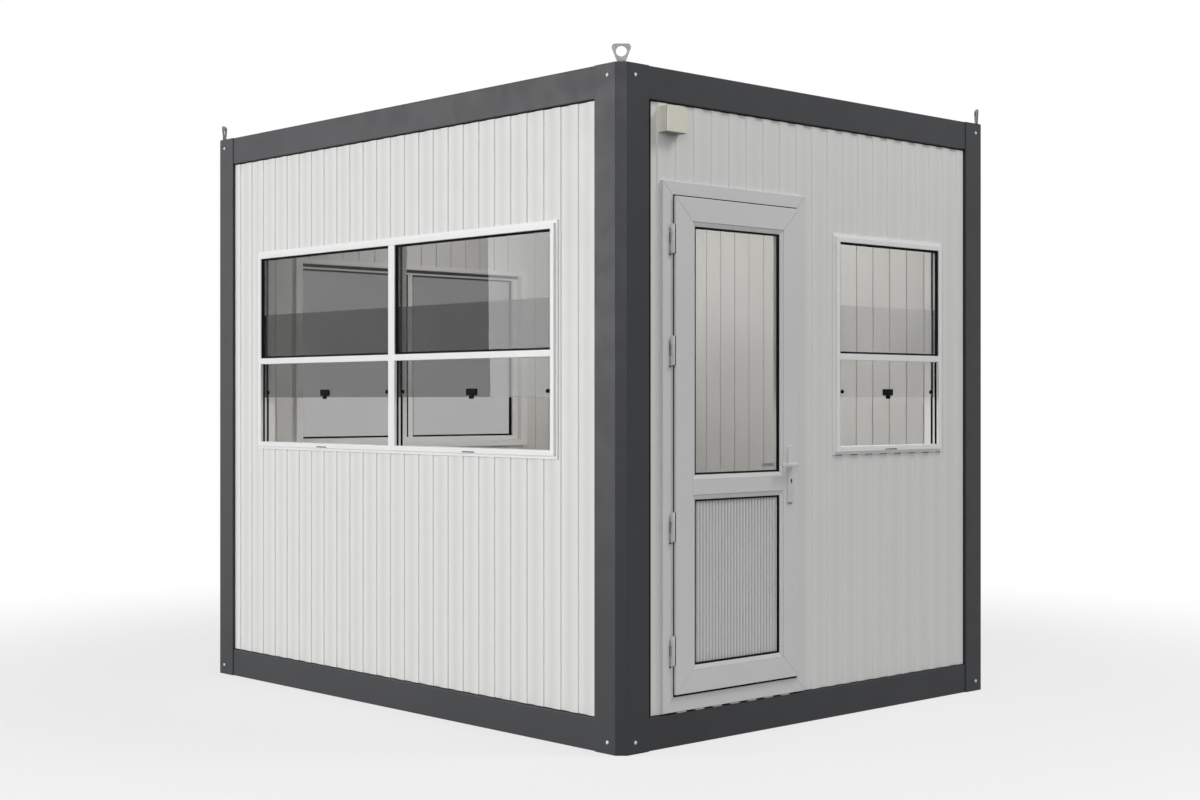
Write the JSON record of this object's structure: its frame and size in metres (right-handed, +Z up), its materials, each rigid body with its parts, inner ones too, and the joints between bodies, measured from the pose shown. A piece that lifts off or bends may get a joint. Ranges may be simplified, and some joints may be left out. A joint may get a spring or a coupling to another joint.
{
  "type": "security guard booth",
  "caption": "Steel framed guard booth with insulated ribbed wall panels, raised guillotine sash windows, a glazed outward opening door and lifting eyes on the corner posts.",
  "frame": {"origin": "centre of the underside, on the ground", "axes": "+Z up; the front with the wide window faces -Y; the end wall with the door faces +X"},
  "size_m": [2.908, 2.312, 2.649],
  "materials": {
    "frame_paint": "anthracite grey powder coat, satin",
    "galvanised": "galvanised steel, dull with a soft spangle",
    "bolt_cap": "white bolt caps",
    "base_steel": "grey primed steel underside",
    "floor_covering": "grey brown vinyl floor covering",
    "panel_paint": "grey white coil coated steel, satin, in shallow vertical ribs",
    "white_pvc": "white PVC profile, satin",
    "window_glass": "grey tinted clear glass",
    "black_plastic": "black moulded plastic",
    "handle_paint": "white enamelled metal, satin",
    "cream_plastic": "cream moulded plastic"
  },
  "bodies": {
    "cabin": {"corner_post_front_left": "frame_paint", "corner_post_front_right": "frame_paint", "corner_post_back_right": "frame_paint", "corner_post_back_left": "frame_paint", "top_rail_front": "frame_paint", "top_rail_door_end": "frame_paint", "top_rail_back": "frame_paint", "top_rail_left_end": "frame_paint", "bottom_rail_front": "frame_paint", "bottom_rail_door_end": "frame_paint", "bottom_rail_back": "frame_paint", "bottom_rail_left_end": "frame_paint", "lifting_eyes": "galvanised", "roof_sheet": "galvanised", "frame_bolts": "bolt_cap", "floor_cassette": "base_steel", "floor_board": "floor_covering", "front_wall_sides": "panel_paint", "front_wall_centre": "panel_paint", "back_wall": "panel_paint", "left_wall_sides": "panel_paint", "left_wall_centre": "panel_paint", "door_wall_uprights": "panel_paint", "door_wall_short_panels": "panel_paint", "ceiling_cassette": "panel_paint", "front_window_frame": "white_pvc", "side_window_frame": "white_pvc", "left_window_frame": "white_pvc", "door_frame": "white_pvc", "front_window_fixed_panes": "window_glass", "front_window_sliding_panes": "window_glass", "side_window_fixed_pane": "window_glass", "side_window_sliding_pane": "window_glass", "left_window_panes": "window_glass", "front_window_latches": "black_plastic", "side_window_latch": "black_plastic", "door_hinge_frame_halves": "handle_paint", "junction_box": "cream_plastic"},
    "door": {"door_leaf": "white_pvc", "door_glass": "window_glass", "door_lower_panel": "white_pvc", "door_handle_plates": "handle_paint", "door_hinge_leaf_halves": "handle_paint"},
    "lever": {"door_lever": "handle_paint"}
  },
  "joints": [
    {"name": "door_swing", "type": "hinge", "parent": "cabin", "child": "door", "pos_m": [1.435, -0.89, 1.144], "axis": [0, 0, -1], "range_deg": [0, 170]},
    {"name": "lever_turn", "type": "hinge", "parent": "door", "child": "lever", "pos_m": [1.423, -0.223, 1.061], "axis": [1, 0, 0], "range_deg": [0, 40], "stiffness_Nm_per_rad": 1.5, "springref_deg": -20.05}
  ]
}
